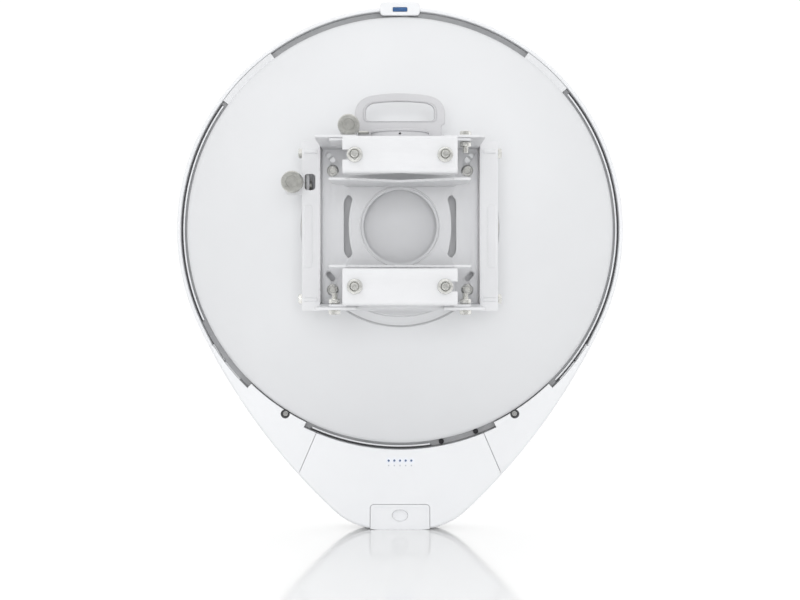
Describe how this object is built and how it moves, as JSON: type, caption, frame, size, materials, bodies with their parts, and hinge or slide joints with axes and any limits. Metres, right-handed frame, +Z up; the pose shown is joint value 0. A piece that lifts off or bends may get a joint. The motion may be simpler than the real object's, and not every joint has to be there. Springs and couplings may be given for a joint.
{
  "type": "outdoor wireless bridge",
  "caption": "Outdoor wireless bridge: a dish with a teardrop radome and signal lights on a two-axis steel pole mount with fine-adjust screws and a carrying handle.",
  "frame": {"origin": "on the axis of the largest pole the clamps take, level with the centre of the dish", "axes": "+Z up along the pole, +Y along the radio beam, away from the pole, +X to the right seen from behind the dish"},
  "size_m": [0.418, 0.267, 0.4934],
  "materials": {
    "upper_pole_channel": "white powder coat, satin",
    "lower_pole_channel": "white powder coat, satin",
    "clamp_bolt_upper_left": "zinc plated, satin",
    "clamp_bolt_upper_right": "zinc plated, satin",
    "clamp_bolt_lower_left": "zinc plated, satin",
    "clamp_bolt_lower_right": "zinc plated, satin",
    "azimuth_pivot_upper": "zinc plated, satin",
    "azimuth_pivot_lower": "zinc plated, satin",
    "azimuth_trunnion": "zinc plated, satin",
    "azimuth_lock_bolt_upper": "zinc plated, satin",
    "azimuth_lock_bolt_lower_left": "zinc plated, satin",
    "azimuth_lock_bolt_lower_right": "zinc plated, satin",
    "clamp_plate_upper": "white powder coat, satin",
    "clamp_nut_upper_left": "zinc plated, satin",
    "clamp_nut_upper_right": "zinc plated, satin",
    "clamp_plate_lower": "white powder coat, satin",
    "clamp_nut_lower_left": "zinc plated, satin",
    "clamp_nut_lower_right": "zinc plated, satin",
    "azimuth_bracket": "white powder coat, satin",
    "elevation_frame": "white powder coat, satin",
    "hanger_screw_upper_left": "zinc plated, satin",
    "hanger_screw_upper_right": "zinc plated, satin",
    "hanger_screw_lower_left": "zinc plated, satin",
    "hanger_screw_lower_right": "zinc plated, satin",
    "carry_handle": "grey powder coat, satin",
    "azimuth_screw": "zinc plated, satin",
    "elevation_screw": "zinc plated, satin",
    "elevation_bracket": "white powder coat, satin",
    "elevation_lock_bolt_upper_left": "zinc plated, satin",
    "elevation_lock_bolt_upper_right": "zinc plated, satin",
    "elevation_lock_bolt_lower_left": "zinc plated, satin",
    "elevation_lock_bolt_lower_right": "zinc plated, satin",
    "elevation_pivot_left": "zinc plated, satin",
    "elevation_pivot_right": "zinc plated, satin",
    "elevation_trunnion": "zinc plated, satin",
    "rear_cover": "white, fine satin",
    "drain_plug_left": "black, matt",
    "drain_plug_right": "black, matt",
    "cover_screw_left": "zinc plated, satin",
    "cover_screw_right": "zinc plated, satin",
    "reflector": "spun, satin",
    "radome": "white, fine satin",
    "rim_seal": "black, matt",
    "feed_tube": "natural dielectric, matt",
    "sub_reflector": "machined",
    "radio_board": "green solder mask",
    "top_cap": "white, fine satin",
    "signal_window": "translucent blue",
    "gps_antenna": "ceramic, matt",
    "chin_housing": "white, fine satin",
    "chin_cover_left": "white, fine satin",
    "chin_cover_right": "white, fine satin",
    "main_board": "green solder mask",
    "ethernet_jack": "plated shield",
    "light_guide": "clear, lit bluish white",
    "port_cover": "white, fine satin",
    "cable_grommet": "black, matt",
    "release_button": "white, fine satin",
    "reset_button": "dark, satin"
  },
  "bodies": {
    "pole_bracket": {"upper_pole_channel": "upper_pole_channel", "lower_pole_channel": "lower_pole_channel", "clamp_bolt_upper_left": "clamp_bolt_upper_left", "clamp_bolt_upper_right": "clamp_bolt_upper_right", "clamp_bolt_lower_left": "clamp_bolt_lower_left", "clamp_bolt_lower_right": "clamp_bolt_lower_right", "azimuth_pivot_upper": "azimuth_pivot_upper", "azimuth_pivot_lower": "azimuth_pivot_lower", "azimuth_trunnion": "azimuth_trunnion", "azimuth_lock_bolt_upper": "azimuth_lock_bolt_upper", "azimuth_lock_bolt_lower_left": "azimuth_lock_bolt_lower_left", "azimuth_lock_bolt_lower_right": "azimuth_lock_bolt_lower_right"},
    "clamp_upper": {"clamp_plate_upper": "clamp_plate_upper", "clamp_nut_upper_left": "clamp_nut_upper_left", "clamp_nut_upper_right": "clamp_nut_upper_right"},
    "clamp_lower": {"clamp_plate_lower": "clamp_plate_lower", "clamp_nut_lower_left": "clamp_nut_lower_left", "clamp_nut_lower_right": "clamp_nut_lower_right"},
    "azimuth": {"azimuth_bracket": "azimuth_bracket", "elevation_frame": "elevation_frame", "hanger_screw_upper_left": "hanger_screw_upper_left", "hanger_screw_upper_right": "hanger_screw_upper_right", "hanger_screw_lower_left": "hanger_screw_lower_left", "hanger_screw_lower_right": "hanger_screw_lower_right", "carry_handle": "carry_handle"},
    "azimuth_screw": {"azimuth_screw": "azimuth_screw"},
    "elevation_screw": {"elevation_screw": "elevation_screw"},
    "head": {"elevation_bracket": "elevation_bracket", "elevation_lock_bolt_upper_left": "elevation_lock_bolt_upper_left", "elevation_lock_bolt_upper_right": "elevation_lock_bolt_upper_right", "elevation_lock_bolt_lower_left": "elevation_lock_bolt_lower_left", "elevation_lock_bolt_lower_right": "elevation_lock_bolt_lower_right", "elevation_pivot_left": "elevation_pivot_left", "elevation_pivot_right": "elevation_pivot_right", "elevation_trunnion": "elevation_trunnion", "rear_cover": "rear_cover", "drain_plug_left": "drain_plug_left", "drain_plug_right": "drain_plug_right", "cover_screw_left": "cover_screw_left", "cover_screw_right": "cover_screw_right", "reflector": "reflector", "radome": "radome", "rim_seal": "rim_seal", "feed_tube": "feed_tube", "sub_reflector": "sub_reflector", "radio_board": "radio_board", "top_cap": "top_cap", "signal_window": "signal_window", "gps_antenna": "gps_antenna", "chin_housing": "chin_housing", "chin_cover_left": "chin_cover_left", "chin_cover_right": "chin_cover_right", "main_board": "main_board", "ethernet_jack": "ethernet_jack", "light_guide": "light_guide"},
    "port_cover": {"port_cover": "port_cover", "cable_grommet": "cable_grommet"},
    "release_button": {"release_button": "release_button"},
    "reset_button": {"reset_button": "reset_button"}
  },
  "joints": [
    {"name": "clamp_upper_slide", "type": "slide", "parent": "pole_bracket", "child": "clamp_upper", "axis": [0, 1, 0], "range_m": [0, 0.016]},
    {"name": "clamp_lower_slide", "type": "slide", "parent": "pole_bracket", "child": "clamp_lower", "axis": [0, 1, 0], "range_m": [0, 0.016]},
    {"name": "azimuth_turn", "type": "hinge", "parent": "pole_bracket", "child": "azimuth", "pos_m": [0, 0.0625, 0], "axis": [0, 0, 1], "range_deg": [-7, 7]},
    {"name": "elevation_tilt", "type": "hinge", "parent": "azimuth", "child": "head", "pos_m": [0, 0.0885, 0], "axis": [1, 0, 0], "range_deg": [-8, 8]},
    {"name": "azimuth_screw_spin", "type": "hinge", "parent": "azimuth", "child": "azimuth_screw", "pos_m": [-0.0402, 0, 0.0765], "axis": [0, 1, 0], "range_deg": [-2300, 2300]},
    {"name": "elevation_screw_spin", "type": "hinge", "parent": "azimuth", "child": "elevation_screw", "pos_m": [-0.0875, 0, 0.0345], "axis": [0, 1, 0], "range_deg": [-2300, 2300]},
    {"name": "port_cover_slide", "type": "slide", "parent": "head", "child": "port_cover", "axis": [0, 0, -1], "range_m": [0, 0.028]},
    {"name": "release_button_press", "type": "slide", "parent": "port_cover", "child": "release_button", "axis": [0, 1, 0], "range_m": [0, 0.0018], "stiffness_N_per_m": 600},
    {"name": "reset_button_press", "type": "slide", "parent": "head", "child": "reset_button", "axis": [0, 0, 1], "range_m": [0, 0.001], "stiffness_N_per_m": 600}
  ],
  "couplings": [
    {"joint": "azimuth_screw_spin", "follows": "azimuth_turn", "ratio": 315.73},
    {"joint": "elevation_screw_spin", "follows": "elevation_tilt", "ratio": 270.96}
  ]
}
